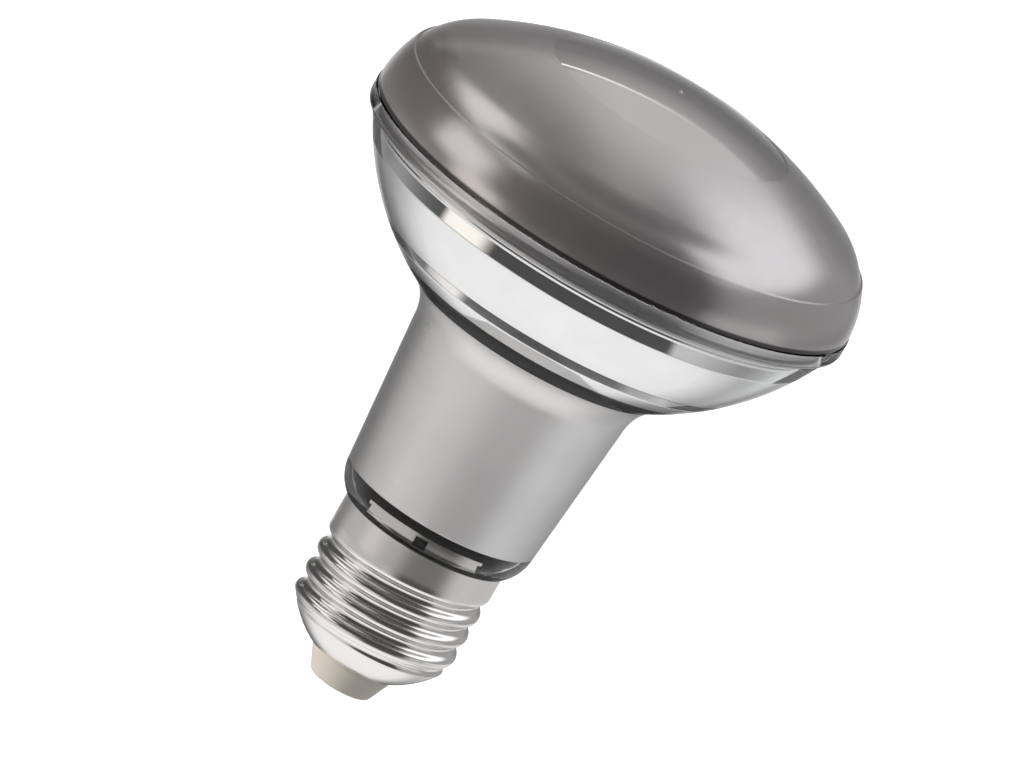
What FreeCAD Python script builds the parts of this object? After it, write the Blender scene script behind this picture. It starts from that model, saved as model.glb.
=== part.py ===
import FreeCAD, Part
import math
import os

# A reflector bulb with a clear body and an E27 screw cap.
# The bulb's axis is +Z, base down, and the origin is the middle of the contact's end face.
# All lengths are in millimetres and all heights are above the contact's end face.

# General walls and clearances
SEAT_GAP = 0.1              # between pieces that are pushed together
FINE_GAP = 0.05             # behind the clear wall, and round a screw, a pin or a board's edge

# Centre contact and insulating plug
CONTACT_PROUD = 0.3         # how far the contact stands out of the plug
CONTACT_R = 3.4
CONTACT_HEAD_H = 0.9
CONTACT_STEM_R = 1.1
CONTACT_STEM_REACH = 1.8    # how far the stem stands out above the plug
PLUG_TIP_R = 4.9
PLUG_CONE_H = 4.0
PLUG_NECK_H = 0.2
PLUG_EDGE_R = 0.4
PLUG_FLANGE_H = 1.6

# Screw cap
SHEET = 0.3                 # wall of the rolled cap
SKIRT_R = 13.14             # also the crest radius of the thread
THREAD_PITCH = 3.629
THREAD_ARC_R = 1.025        # crest and root radius of a rolled E27 thread
FIRST_ROOT_RISE = 0.15      # from the bottom's corner to the lowest root, on the +X side
THREAD_LAND = 0.12          # width left between the ends of two crest arcs
THREAD_LIFT = 0.02          # how far the groove's section is moved outwards
GROOVE_START = -1.0         # in turns from the lowest root on the +X side, below the corner
RUN_OUT_START = 3.1
RUN_OUT_TURNS = 0.4
RUN_OUT_LIFT = 1.35         # how far the groove's section leaves the cap over the run-out
RUN_OUT_LAP = 0.005         # in turns, how much earlier the run-out starts
RUN_OUT_STEP = 0.04         # how much shallower the run-out starts than the groove
CAP_HOLE_R = 7.1            # edge of the cap's bottom hole, outside
CAP_BOTTOM_H = 5.6          # height of the rounded bottom
CAP_CORNER_STEP = 0.24      # how far the bottom's corner stays inside the crests
CAP_BULGE = 0.52            # how far the rounded bottom bows out of a straight line
CAP_H = 22.8

# Clear body
GLASS_WALL = 1.2
FOOT_LAP = 0.4              # how far the cap reaches into the foot
FOOT_LIP = 0.2              # flat width of the foot's end
FOOT_STEP = 2.45            # how much wider the neck is than the foot's bore
FOOT_ARC_R = 6.3
NECK_LENGTH = 23.24         # between the centres of the foot's arc and of the neck's fillet
NECK_TAPER = 0.0881         # growth of the radius for each mm of height
NECK_FILLET_R = 8.0
BOWL_R = 43.6
BOWL_DEPTH = 26.56          # from the fillet's centre to the rim flange
RIM_R = 40.0
RIM_STEP = 0.92             # how far the flange stands out of the bowl
RIM_H = 2.6
RIM_EDGE_R = 0.7

# Cover
COVER_WALL = 1.3
COVER_H = 20.7              # from the flange to the top of the dome
COVER_STEP = 0.15           # how far the cover's edge stays inside the flange
SEAL_T = 0.2
SEAL_INSET = 0.35
DOME_R = 67.0
DOME_EDGE_R = 11.6
DOME_EDGE_INSET = 12.22     # from the cover's edge to the centre of the dome's edge arc
CREASE_ANGLE = 31.0         # place of the crease on the dome's edge arc, in degrees
CREASE_STEP = 0.35
SHOULDER_ARC_R = 13.0
SPIGOT_DEPTH = 3.2
DISC_R = 19.75              # smooth middle disc
DISC_DEPTH = 0.08
GATE_R = 0.55
GATE_H = 0.3

# Mirrored bowl, black ring and sleeve behind the clear wall
MIRROR_WALL = 0.8
COLLAR_WIDTH = 3.2          # sloping collar of the mirrored bowl
LEDGE_WIDTH = 4.05          # ledge above the lower upright band
UPPER_BAND_INSET = 1.75     # from the lip's edge in to the upper upright band
LIP_T = 0.9
RING_WIDTH = 3.13
RING_WALL = 1.55
SLEEVE_WALL = 1.0
SLEEVE_FLARE = 1.82
SLEEVE_DROP = 0.2           # how far the sleeve starts below the foot arc's centre

# Heat spreader, LED board and its fittings
SPREADER_DROP = 0.54        # from the fillet's centre down to the spreader's top
SPREADER_T = 1.6
SPREADER_SKIRT_H = 3.6
SPREADER_SKIRT_WALL = 1.2
BOARD_MARGIN = 1.1
BOARD_T = 1.0
WIRE_HOLE_R = 2.4
LED_LENGTH = 3.5
LED_WIDTH = 2.8
LED_H = 0.7
LED_BEVEL = 0.14
LED_MARGIN = 1.2            # between the LEDs and the edges of the board
INNER_LEDS = 4
OUTER_LEDS = 10
SCREW_COUNT = 2
SCREW_R = 1.2
SCREW_HEAD_R = 2.1
SCREW_HEAD_H = 1.3
SCREW_DOME_R = 2.5
SCREW_LENGTH = 3.4
SCREW_SLOT = 0.5

# Driver housing and foot clips
HOUSING_WALL = 1.2
HOUSING_ROOM = 1.0          # between the housing and the sleeve
HOUSING_LOW_RISE = 0.8      # from the cap's corner to the housing's end
HOUSING_TOP_ROOM = 0.3      # below the heat spreader's skirt
HOUSING_FLANGE_T = 1.5
CLIP_T = 0.45
CLIP_RISE = 0.15            # above the cap's end
CLIP_H = 2.55
CLIP_HALF_ANGLE = 45.0
CLIP_TOOTH = 0.7
CLIP_SLOT_W = 2.0
CLIP_SLOT_H = 1.3
PAD_ANGLE_GAP = 1.5         # between the housing's side pads and the clips
RIB_T = 1.1
RIB_DEPTH = 1.7

# Driver board and its components
PCB_T = 1.6
PCB_EDGE_ROOM = 0.64
PCB_LOW_RISE = 2.7          # from the housing's end
PCB_TOP_DROP = 0.9          # from the housing's top
FIRST_ROW_RISE = 2.0        # from the board's lower end to its lowest components
ROW_GAP = 1.5
ECAP_R = 4.0
ECAP_H = 14.0
ECAP_DROP = 4.0             # from the board's upper end
ECAP_GROOVE = 0.3
FILM_W = 10.0
FILM_D = 5.0
FILM_H = 8.0
FILM_CORNER_R = 1.0
CORE_R = 4.0
CORE_SPOOL_R = 1.9
CORE_H = 8.0
CORE_FLANGE_T = 1.2
WINDING_R = 3.5
BRIDGE_W = 4.7
BRIDGE_D = 1.5
BRIDGE_H = 3.9
CHIP_W = 4.9
CHIP_D = 1.5
CHIP_H = 3.9
LEAD_W = 0.4
LEAD_T = 0.2
LEAD_REACH = 0.9
FUSE_R = 1.5
FUSE_H = 7.5
FUSE_LEAD_R = 0.3
FUSE_LEAD_H = 1.5
SMALL_RESISTOR_W = 1.2
SMALL_RESISTOR_D = 0.5
SMALL_RESISTOR_H = 2.0
SMALL_RESISTOR_DROP = 3.0   # from the board's upper end
SMALL_RESISTORS = 4
SIDE_X = 4.5                # of the components beside the board's middle
WIRE_R = 0.6
WIRE_BEND_R = 2.0
WIRE_SPREAD = 3.3           # of a wire's end from the board's middle
SOLDER_OVERLAP = 3.0        # length of each wire that lies on the board

# Heights, stacked from the contact up
CAP_BOTTOM_Z = CONTACT_PROUD + PLUG_CONE_H + PLUG_NECK_H
CAP_CORNER_Z = CAP_BOTTOM_Z + CAP_BOTTOM_H
FIRST_ROOT_Z = CAP_CORNER_Z + FIRST_ROOT_RISE
CAP_TOP_Z = CAP_BOTTOM_Z + CAP_H
CONTACT_STEM_TOP = CAP_BOTTOM_Z + SHEET + PLUG_FLANGE_H + CONTACT_STEM_REACH
FOOT_END_Z = CAP_TOP_Z - FOOT_LAP
CLIP_LOW_Z = CAP_TOP_Z + CLIP_RISE
CLIP_HIGH_Z = CLIP_LOW_Z + CLIP_H
NECK_SLOPE = math.sqrt(1 + NECK_TAPER ** 2)
BORE_R = SKIRT_R + SEAT_GAP
NECK_LOW_R = BORE_R + FOOT_STEP
FOOT_ARC_CENTRE_R = NECK_LOW_R - FOOT_ARC_R * NECK_SLOPE
FOOT_ARC_Z = FOOT_END_Z + math.sqrt(FOOT_ARC_R ** 2 - (BORE_R + FOOT_LIP - FOOT_ARC_CENTRE_R) ** 2)
FILLET_Z = FOOT_ARC_Z + NECK_LENGTH
BOWL_TOP_Z = FILLET_Z + BOWL_DEPTH
RIM_TOP_Z = BOWL_TOP_Z + RIM_H
COVER_LOW_Z = RIM_TOP_Z + SEAL_T
SPIGOT_LOW_Z = RIM_TOP_Z - SPIGOT_DEPTH
LIP_TOP_Z = SPIGOT_LOW_Z - SEAT_GAP
LIP_LOW_Z = LIP_TOP_Z - LIP_T
DOME_APEX_Z = RIM_TOP_Z + COVER_H
SLEEVE_LOW_Z = FOOT_ARC_Z - SLEEVE_DROP
SPREADER_TOP_Z = FILLET_Z - SPREADER_DROP
SPREADER_UNDER_Z = SPREADER_TOP_Z - SPREADER_T
SPREADER_SKIRT_Z = SPREADER_UNDER_Z - SPREADER_SKIRT_H
HOUSING_LOW_Z = CAP_CORNER_Z + HOUSING_LOW_RISE
HOUSING_TOP_Z = SPREADER_SKIRT_Z - HOUSING_TOP_ROOM
PCB_LOW_Z = HOUSING_LOW_Z + PCB_LOW_RISE
PCB_HIGH_Z = HOUSING_TOP_Z - PCB_TOP_DROP
FIRST_ROW_Z = PCB_LOW_Z + FIRST_ROW_RISE
CHIP_Z = FIRST_ROW_Z + BRIDGE_H + ROW_GAP
ECAP_Z = PCB_HIGH_Z - ECAP_DROP - ECAP_H
SMALL_RESISTOR_Z = PCB_HIGH_Z - SMALL_RESISTOR_DROP - SMALL_RESISTOR_H
CORE_Z = SMALL_RESISTOR_Z - ROW_GAP - CORE_H

# Radii that follow from the ones above
CAP_CORNER_R = SKIRT_R - CAP_CORNER_STEP
COVER_EDGE_R = RIM_R - COVER_STEP
BOWL_END_R = RIM_R - RIM_STEP
ROOT_ANGLE = math.asin(THREAD_PITCH / 4 / THREAD_ARC_R)
THREAD_DEPTH = 2 * THREAD_ARC_R * (1 - math.cos(ROOT_ANGLE))
HOUSING_SPIGOT_R = SKIRT_R - THREAD_DEPTH - SHEET - SEAT_GAP
HOUSING_BORE_R = HOUSING_SPIGOT_R - HOUSING_WALL
PCB_HALF_W = HOUSING_BORE_R - PCB_EDGE_ROOM
BACK_INSET = GLASS_WALL + FINE_GAP

UP = FreeCAD.Vector(0, 0, 1)
AXIS_BASE = FreeCAD.Vector(0, 0, 0)


def at(radius, height):
    """A point of a turned section, in the XZ plane."""
    return FreeCAD.Vector(radius, 0, height)


def line(start, end):
    return Part.LineSegment(start, end).toShape()


def arc(start, end, centre, radius):
    """The short arc from start to end about a centre."""
    middle = (start + end) * 0.5 - centre
    middle = centre + middle * (radius / middle.Length)
    return Part.Arc(start, middle, end).toShape()


def turned(edges):
    """A solid of revolution from a closed chain of section edges."""
    face = Part.Face(Part.Wire(edges))
    solid = face.revolve(AXIS_BASE, UP, 360)
    return Part.makeSolid(solid.Shells[0]) if not solid.Solids else solid.Solids[0]


def turned_points(points):
    """A solid of revolution from straight section edges."""
    corners = [at(radius, height) for radius, height in points]
    edges = []
    for index, corner in enumerate(corners):
        edges.append(line(corner, corners[(index + 1) % len(corners)]))
    return turned(edges)


def block(width, depth, height, x, y, z):
    """A box centred on x and y, standing on z."""
    return Part.makeBox(width, depth, height, FreeCAD.Vector(x - width / 2, y - depth / 2, z))


def rod(radius, height, x, y, z):
    return Part.makeCylinder(radius, height, FreeCAD.Vector(x, y, z), UP)


# The body's outline, inset

def neck_radius(height, inset):
    """Radius of the straight neck at a height, moved inwards by inset."""
    return NECK_LOW_R + NECK_TAPER * (height - FOOT_ARC_Z) - inset * NECK_SLOPE


def bowl_centre():
    """Centre of the bowl's arc, which ends under the flange and touches the neck's fillet."""
    end = at(BOWL_END_R, BOWL_TOP_Z)
    across = FILLET - end
    reach = across.Length
    fillet_reach = BOWL_R + NECK_FILLET_R
    along = (BOWL_R ** 2 - fillet_reach ** 2 + reach ** 2) / (2 * reach)
    aside = math.sqrt(BOWL_R ** 2 - along ** 2)
    normal = at(across.z, -across.x)
    return end + across * (along / reach) + normal * (aside / reach)


FILLET = at(neck_radius(FILLET_Z, 0) + NECK_FILLET_R * NECK_SLOPE, FILLET_Z)
BOWL = bowl_centre()


def bowl_radius(height, inset):
    """Radius of the round bowl at a height, moved inwards by inset."""
    return BOWL.x + math.sqrt((BOWL_R - inset) ** 2 - (BOWL.z - height) ** 2)


def bowl_height(radius, inset):
    """Height at which the inset bowl has a radius."""
    return BOWL.z - math.sqrt((BOWL_R - inset) ** 2 - (radius - BOWL.x) ** 2)


def fillet_low(inset):
    """Where the straight neck meets the fillet."""
    normal = at(-1, NECK_TAPER)
    return FILLET + normal * ((NECK_FILLET_R + inset) / normal.Length)


def fillet_high(inset):
    """Where the fillet meets the bowl."""
    way = FILLET - BOWL
    return BOWL + way * ((BOWL_R - inset) / way.Length)


def fillet_radius(height, inset):
    """Radius of the fillet's stretch at a height."""
    rise = height - FILLET.z
    return FILLET.x - math.sqrt((NECK_FILLET_R + inset) ** 2 - rise ** 2)


def skin_height(radius, inset):
    """Height at which the inset outline above the neck has a radius."""
    if radius > fillet_high(inset).x:
        return bowl_height(radius, inset)
    return FILLET.z + math.sqrt((NECK_FILLET_R + inset) ** 2 - (FILLET.x - radius) ** 2)


def skin_point(height, inset):
    """Point of the body's outline, moved inwards by inset."""
    if height < fillet_low(inset).z:
        return at(neck_radius(height, inset), height)
    if height < fillet_high(inset).z:
        return at(fillet_radius(height, inset), height)
    return at(bowl_radius(height, inset), height)


def skin_edges(low_z, high_z, inset):
    """Edges of the inset outline between two heights, from low to high."""
    joints = [fillet_low(inset), fillet_high(inset)]
    start = skin_point(low_z, inset)
    end = skin_point(high_z, inset)
    stops = [start] + [stop for stop in joints if low_z < stop.z < high_z] + [end]
    edges = []
    for first, second in zip(stops, stops[1:]):
        middle_z = (first.z + second.z) / 2
        if middle_z < joints[0].z:
            edges.append(line(first, second))
        elif middle_z < joints[1].z:
            edges.append(arc(first, second, FILLET, NECK_FILLET_R + inset))
        else:
            edges.append(arc(first, second, BOWL, BOWL_R - inset))
    return edges


def backwards(edges):
    return list(reversed(edges))


# Clear body, from the foot to the rim

def make_glass_body():
    foot_centre = at(FOOT_ARC_CENTRE_R, FOOT_ARC_Z)
    inner_foot_r = FOOT_ARC_R - GLASS_WALL
    bore_low = at(BORE_R, FOOT_END_Z)
    bore_high = at(BORE_R, FOOT_ARC_Z - math.sqrt(inner_foot_r ** 2 - (BORE_R - FOOT_ARC_CENTRE_R) ** 2))
    outer_end = at(BORE_R + FOOT_LIP, FOOT_END_Z)
    to_neck = at(1, -NECK_TAPER) * (1 / NECK_SLOPE)
    outer_neck = foot_centre + to_neck * FOOT_ARC_R
    inner_neck = foot_centre + to_neck * inner_foot_r
    bowl_end = skin_point(BOWL_TOP_Z, 0)
    inner_end = skin_point(BOWL_TOP_Z, GLASS_WALL)
    flange_low = at(RIM_R - RIM_EDGE_R, BOWL_TOP_Z)
    flange_side = at(RIM_R, BOWL_TOP_Z + RIM_EDGE_R)
    flange_top = at(RIM_R, RIM_TOP_Z)
    inner_top = at(inner_end.x, RIM_TOP_Z)

    edges = [arc(outer_end, outer_neck, foot_centre, FOOT_ARC_R)]
    edges += skin_edges(outer_neck.z, BOWL_TOP_Z, 0)
    edges.append(line(bowl_end, flange_low))
    edges.append(arc(flange_low, flange_side, at(flange_low.x, flange_side.z), RIM_EDGE_R))
    edges.append(line(flange_side, flange_top))
    edges.append(line(flange_top, inner_top))
    edges.append(line(inner_top, inner_end))
    edges += backwards(skin_edges(inner_neck.z, BOWL_TOP_Z, GLASS_WALL))
    edges.append(arc(inner_neck, bore_high, foot_centre, inner_foot_r))
    edges.append(line(bore_high, bore_low))
    edges.append(line(bore_low, outer_end))
    return turned(edges)


# Cover with its dome, crease, shoulder and spigot

def dome_centre():
    return at(0, DOME_APEX_Z - DOME_R)


def dome_edge_centre():
    reach = DOME_R - DOME_EDGE_R
    radius = COVER_EDGE_R - DOME_EDGE_INSET
    return at(radius, dome_centre().z + math.sqrt(reach ** 2 - radius ** 2))


def dome_point(radius, inset):
    return at(radius, dome_centre().z + math.sqrt((DOME_R - inset) ** 2 - radius ** 2))


def dome_edge_joint(inset):
    way = dome_edge_centre() - dome_centre()
    return dome_centre() + way * ((DOME_R - inset) / way.Length)


def crease_point(inset):
    angle = math.radians(CREASE_ANGLE)
    out = at(math.cos(angle), math.sin(angle))
    return dome_edge_centre() + out * (DOME_EDGE_R - inset)


def shoulder_centre():
    """Centre of the shoulder's arc, from its two ends and its radius."""
    low = at(COVER_EDGE_R, COVER_LOW_Z)
    high = crease_point(0) + at(CREASE_STEP, 0)
    half = (high - low) * 0.5
    across = at(-half.z, half.x) if half.z > 0 else at(half.z, -half.x)
    height = math.sqrt(SHOULDER_ARC_R ** 2 - half.Length ** 2)
    return low + half + across * (height / across.Length)


def make_front_cover():
    spigot_r = skin_point(SPIGOT_LOW_Z, GLASS_WALL).x - SEAT_GAP
    spigot_inner_r = spigot_r - COVER_WALL
    centre = shoulder_centre()
    shoulder_low = at(COVER_EDGE_R, COVER_LOW_Z)
    shoulder_high = crease_point(0) + at(CREASE_STEP, 0)
    crease = crease_point(0)
    joint = dome_edge_joint(0)
    disc_rim = dome_point(DISC_R, 0)
    disc_start = dome_point(DISC_R, DISC_DEPTH)
    gate_low = dome_point(GATE_R, DISC_DEPTH)
    gate_top = at(0, dome_point(0, DISC_DEPTH).z + GATE_H)
    inner_top = at(0, DOME_APEX_Z - COVER_WALL)
    inner_joint = dome_edge_joint(COVER_WALL)
    inner_crease = crease_point(COVER_WALL)
    inner_low = at(spigot_inner_r, COVER_LOW_Z)

    edges = [arc(shoulder_low, shoulder_high, centre, SHOULDER_ARC_R)]
    edges.append(line(shoulder_high, crease))
    edges.append(arc(crease, joint, dome_edge_centre(), DOME_EDGE_R))
    edges.append(arc(joint, disc_rim, dome_centre(), DOME_R))
    edges.append(line(disc_rim, disc_start))
    edges.append(arc(disc_start, gate_low, dome_centre(), DOME_R - DISC_DEPTH))
    edges.append(line(gate_low, gate_top))
    edges.append(line(gate_top, inner_top))
    edges.append(arc(inner_top, inner_joint, dome_centre(), DOME_R - COVER_WALL))
    edges.append(arc(inner_joint, inner_crease, dome_edge_centre(), DOME_EDGE_R - COVER_WALL))
    edges.append(line(inner_crease, inner_low))
    edges.append(line(inner_low, at(spigot_inner_r, SPIGOT_LOW_Z)))
    edges.append(line(at(spigot_inner_r, SPIGOT_LOW_Z), at(spigot_r, SPIGOT_LOW_Z)))
    edges.append(line(at(spigot_r, SPIGOT_LOW_Z), at(spigot_r, COVER_LOW_Z)))
    edges.append(line(at(spigot_r, COVER_LOW_Z), shoulder_low))
    return turned(edges)


def make_cover_seal():
    inner_r = skin_point(BOWL_TOP_Z, GLASS_WALL).x
    outer_r = COVER_EDGE_R - SEAL_INSET
    return turned_points([
        (inner_r, RIM_TOP_Z),
        (outer_r, RIM_TOP_Z),
        (outer_r, COVER_LOW_Z),
        (inner_r, COVER_LOW_Z),
    ])


# Mirrored bowl, black ring and sleeve

def sleeve_end_radius():
    """Outer radius of the sleeve's flared end, where the black ring starts."""
    return fillet_low(BACK_INSET).x + SLEEVE_FLARE


def ring_end_radius():
    """Outer radius of the black ring's upper end, where the mirrored bowl starts."""
    return sleeve_end_radius() + RING_WIDTH


def make_reflector():
    outside = BACK_INSET
    inside = BACK_INSET + MIRROR_WALL
    start_z = skin_height(ring_end_radius(), outside)
    lower_r = ring_end_radius() + COLLAR_WIDTH
    lower_z = bowl_height(lower_r, outside)
    ledge_r = lower_r + LEDGE_WIDTH
    ledge_z = bowl_height(ledge_r, outside)
    lip_r = skin_point(LIP_LOW_Z, outside).x
    upper_r = lip_r - UPPER_BAND_INSET
    upper_z = bowl_height(upper_r, outside)
    inner_ledge_z = ledge_z + MIRROR_WALL
    inner_ledge = skin_point(inner_ledge_z, inside)
    inner_lower_r = lower_r - MIRROR_WALL
    inner_lower_foot = at(inner_lower_r, bowl_height(inner_lower_r, inside))
    inner_lower_top = at(inner_lower_r, inner_ledge_z)
    inner_upper_r = upper_r - MIRROR_WALL
    inner_bowl_end = at(inner_upper_r, bowl_height(inner_upper_r, inside))

    edges = skin_edges(start_z, lower_z, outside)
    edges.append(line(at(lower_r, lower_z), at(lower_r, ledge_z)))
    edges.append(line(at(lower_r, ledge_z), at(ledge_r, ledge_z)))
    edges += skin_edges(ledge_z, upper_z, outside)
    edges.append(line(at(upper_r, upper_z), at(upper_r, LIP_LOW_Z)))
    edges.append(line(at(upper_r, LIP_LOW_Z), at(lip_r, LIP_LOW_Z)))
    edges.append(line(at(lip_r, LIP_LOW_Z), at(lip_r, LIP_TOP_Z)))
    edges.append(line(at(lip_r, LIP_TOP_Z), at(inner_upper_r, LIP_TOP_Z)))
    edges.append(line(at(inner_upper_r, LIP_TOP_Z), inner_bowl_end))
    edges.append(arc(inner_bowl_end, inner_ledge, BOWL, BOWL_R - inside))
    edges.append(line(inner_ledge, inner_lower_top))
    edges.append(line(inner_lower_top, inner_lower_foot))
    edges += backwards(skin_edges(start_z, inner_lower_foot.z, inside))
    edges.append(line(skin_point(start_z, inside), skin_point(start_z, outside)))
    return turned(edges)


def make_retaining_ring():
    low_r = sleeve_end_radius()
    low_z = skin_height(low_r, BACK_INSET)
    high_r = ring_end_radius()
    high_z = skin_height(high_r, BACK_INSET)
    inner_r = low_r - RING_WALL
    edges = skin_edges(low_z, high_z, BACK_INSET)
    edges.append(line(at(high_r, high_z), at(inner_r, high_z)))
    edges.append(line(at(inner_r, high_z), at(inner_r, low_z)))
    edges.append(line(at(inner_r, low_z), at(low_r, low_z)))
    return turned(edges)


def make_neck_sleeve():
    inside = BACK_INSET + SLEEVE_WALL
    high_z = skin_height(sleeve_end_radius(), BACK_INSET)
    edges = skin_edges(SLEEVE_LOW_Z, high_z, BACK_INSET)
    edges.append(line(skin_point(high_z, BACK_INSET), skin_point(high_z, inside)))
    edges += backwards(skin_edges(SLEEVE_LOW_Z, high_z, inside))
    edges.append(line(skin_point(SLEEVE_LOW_Z, inside), skin_point(SLEEVE_LOW_Z, BACK_INSET)))
    return turned(edges)


# Heat spreader, LED board, LEDs and screws

SPREADER_FIT_INSET = BACK_INSET + SLEEVE_WALL + SEAT_GAP


def board_radius():
    return skin_point(SPREADER_TOP_Z, SPREADER_FIT_INSET).x - BOARD_MARGIN


def inner_led_radius():
    return WIRE_HOLE_R + LED_MARGIN + LED_WIDTH / 2


def outer_led_radius():
    return board_radius() - LED_MARGIN - LED_WIDTH / 2


def screw_places():
    ring_r = (inner_led_radius() + outer_led_radius()) / 2
    for index in range(SCREW_COUNT):
        angle = 2 * math.pi * index / SCREW_COUNT
        yield ring_r * math.cos(angle), ring_r * math.sin(angle)


def make_heat_spreader():
    bore_inset = SPREADER_FIT_INSET + SPREADER_SKIRT_WALL
    spreader = turned_points([
        (WIRE_HOLE_R, SPREADER_TOP_Z),
        (skin_point(SPREADER_TOP_Z, SPREADER_FIT_INSET).x, SPREADER_TOP_Z),
        (skin_point(SPREADER_SKIRT_Z, SPREADER_FIT_INSET).x, SPREADER_SKIRT_Z),
        (skin_point(SPREADER_SKIRT_Z, bore_inset).x, SPREADER_SKIRT_Z),
        (skin_point(SPREADER_UNDER_Z, bore_inset).x, SPREADER_UNDER_Z),
        (WIRE_HOLE_R, SPREADER_UNDER_Z),
    ])
    for x, y in screw_places():
        spreader = spreader.cut(rod(SCREW_R + FINE_GAP, SPREADER_T, x, y, SPREADER_UNDER_Z))
    return spreader


def make_led_board():
    board = rod(board_radius(), BOARD_T, 0, 0, SPREADER_TOP_Z)
    board = board.cut(rod(WIRE_HOLE_R, BOARD_T, 0, 0, SPREADER_TOP_Z))
    for x, y in screw_places():
        board = board.cut(rod(SCREW_R + SEAT_GAP, BOARD_T, x, y, SPREADER_TOP_Z))
    return board


def make_led_chips():
    base_z = SPREADER_TOP_Z + BOARD_T
    chips = []
    for count, ring_r in ((INNER_LEDS, inner_led_radius()), (OUTER_LEDS, outer_led_radius())):
        for index in range(count):
            chip = block(LED_WIDTH, LED_LENGTH, LED_H, ring_r, 0, base_z)
            top_edges = [edge for edge in chip.Edges if edge.BoundBox.ZMin > base_z + LED_H / 2]
            chip = chip.makeChamfer(LED_BEVEL, top_edges)
            chip.rotate(AXIS_BASE, UP, 360.0 * (index + 0.5) / count)
            chips.append(chip)
    return Part.makeCompound(chips)


def make_board_screws():
    seat_z = SPREADER_TOP_Z + BOARD_T
    screws = []
    for x, y in screw_places():
        dome_z = seat_z + SCREW_HEAD_H - SCREW_DOME_R
        head = Part.makeSphere(SCREW_DOME_R, FreeCAD.Vector(x, y, dome_z))
        head = head.common(rod(SCREW_HEAD_R, SCREW_HEAD_H, x, y, seat_z))
        slot = block(2 * SCREW_HEAD_R, SCREW_SLOT, SCREW_HEAD_H, x, y, seat_z + SCREW_HEAD_H / 2)
        shank = rod(SCREW_R, SCREW_LENGTH, x, y, seat_z - SCREW_LENGTH)
        screws.append(head.cut(slot).fuse(shank).removeSplitter().Solids[0])
    return Part.makeCompound(screws)


# Driver housing and the two foot clips

def sector(inner_r, outer_r, low_z, high_z, half_angle, middle_angle):
    """A curved plate between two radii, centred on an angle in degrees."""
    ring = rod(outer_r, high_z - low_z, 0, 0, low_z).cut(rod(inner_r, high_z - low_z, 0, 0, low_z))
    reach = 2 * outer_r
    tip = FreeCAD.Vector(0, 0, low_z)
    sides = []
    for turn in (-half_angle, half_angle):
        angle = math.radians(middle_angle + turn)
        sides.append(FreeCAD.Vector(reach * math.cos(angle), reach * math.sin(angle), low_z))
    wedge = Part.Face(Part.makePolygon([tip, sides[0], sides[1], tip])).extrude(UP * (high_z - low_z))
    return ring.common(wedge)


def foot_bore_radius(height):
    """Radius of the clear foot's rounded bore at a height."""
    reach = FOOT_ARC_R - GLASS_WALL
    return FOOT_ARC_CENTRE_R + math.sqrt(reach ** 2 - (height - FOOT_ARC_Z) ** 2)


def make_driver_housing():
    """A tube with a shoulder that closes the clear foot and a pad on each side between the clips."""
    collar_r = BORE_R - SEAT_GAP - CLIP_T
    shoulder_low_z = CLIP_HIGH_Z + SEAT_GAP
    shoulder_top_z = SLEEVE_LOW_Z - SEAT_GAP
    tube_r = skin_point(SLEEVE_LOW_Z, BACK_INSET + SLEEVE_WALL).x - HOUSING_ROOM
    flange_z = HOUSING_TOP_Z - HOUSING_FLANGE_T
    flange_r = skin_point(flange_z, BACK_INSET + SLEEVE_WALL).x - SEAT_GAP
    housing = turned_points([
        (HOUSING_BORE_R, HOUSING_LOW_Z),
        (HOUSING_SPIGOT_R, HOUSING_LOW_Z),
        (HOUSING_SPIGOT_R, CLIP_LOW_Z),
        (collar_r, CLIP_LOW_Z),
        (collar_r, shoulder_low_z),
        (foot_bore_radius(shoulder_low_z) - SEAT_GAP, shoulder_low_z),
        (foot_bore_radius(shoulder_top_z) - SEAT_GAP, shoulder_top_z),
        (tube_r, shoulder_top_z),
        (tube_r, flange_z),
        (flange_r, flange_z),
        (flange_r, HOUSING_TOP_Z),
        (HOUSING_BORE_R, HOUSING_TOP_Z),
    ])
    for middle_angle in (0, 180):
        housing = housing.fuse(sector(HOUSING_SPIGOT_R, collar_r + CLIP_T, CLIP_LOW_Z, shoulder_low_z,
                                      90 - CLIP_HALF_ANGLE - PAD_ANGLE_GAP, middle_angle))
    rib_height = flange_z - PCB_LOW_Z
    rib_y = PCB_T / 2 + FINE_GAP + RIB_T / 2
    ring = rod(HOUSING_BORE_R + HOUSING_WALL / 2, rib_height, 0, 0, PCB_LOW_Z)
    for side in (-1, 1):
        for face in (-1, 1):
            rib = block(2 * RIB_DEPTH, RIB_T, rib_height, side * HOUSING_BORE_R, face * rib_y, PCB_LOW_Z)
            housing = housing.fuse(rib.common(ring))
    return housing.removeSplitter().Solids[0]


def make_foot_clip(middle_angle):
    """A curved clip with a stepped edge at both ends and a small slot in its middle."""
    outer_r = BORE_R - SEAT_GAP
    inner_r = outer_r - CLIP_T
    clip = sector(inner_r, outer_r, CLIP_LOW_Z, CLIP_HIGH_Z, CLIP_HALF_ANGLE, middle_angle)
    tooth_angle = math.degrees(CLIP_TOOTH / outer_r)
    third = CLIP_H / 3
    for side in (-1, 1):
        notch = sector(inner_r - CLIP_T, outer_r + CLIP_T, CLIP_LOW_Z + third, CLIP_LOW_Z + 2 * third,
                       tooth_angle, middle_angle + side * CLIP_HALF_ANGLE)
        clip = clip.cut(notch)
    slot_z = CLIP_LOW_Z + (CLIP_H - CLIP_SLOT_H) / 2
    slot = block(CLIP_SLOT_W, 4 * CLIP_T, CLIP_SLOT_H, 0, -outer_r, slot_z)
    slot.rotate(AXIS_BASE, UP, middle_angle + 90)
    return clip.cut(slot).Solids[0]


# Screw cap, rolled from sheet

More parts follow.
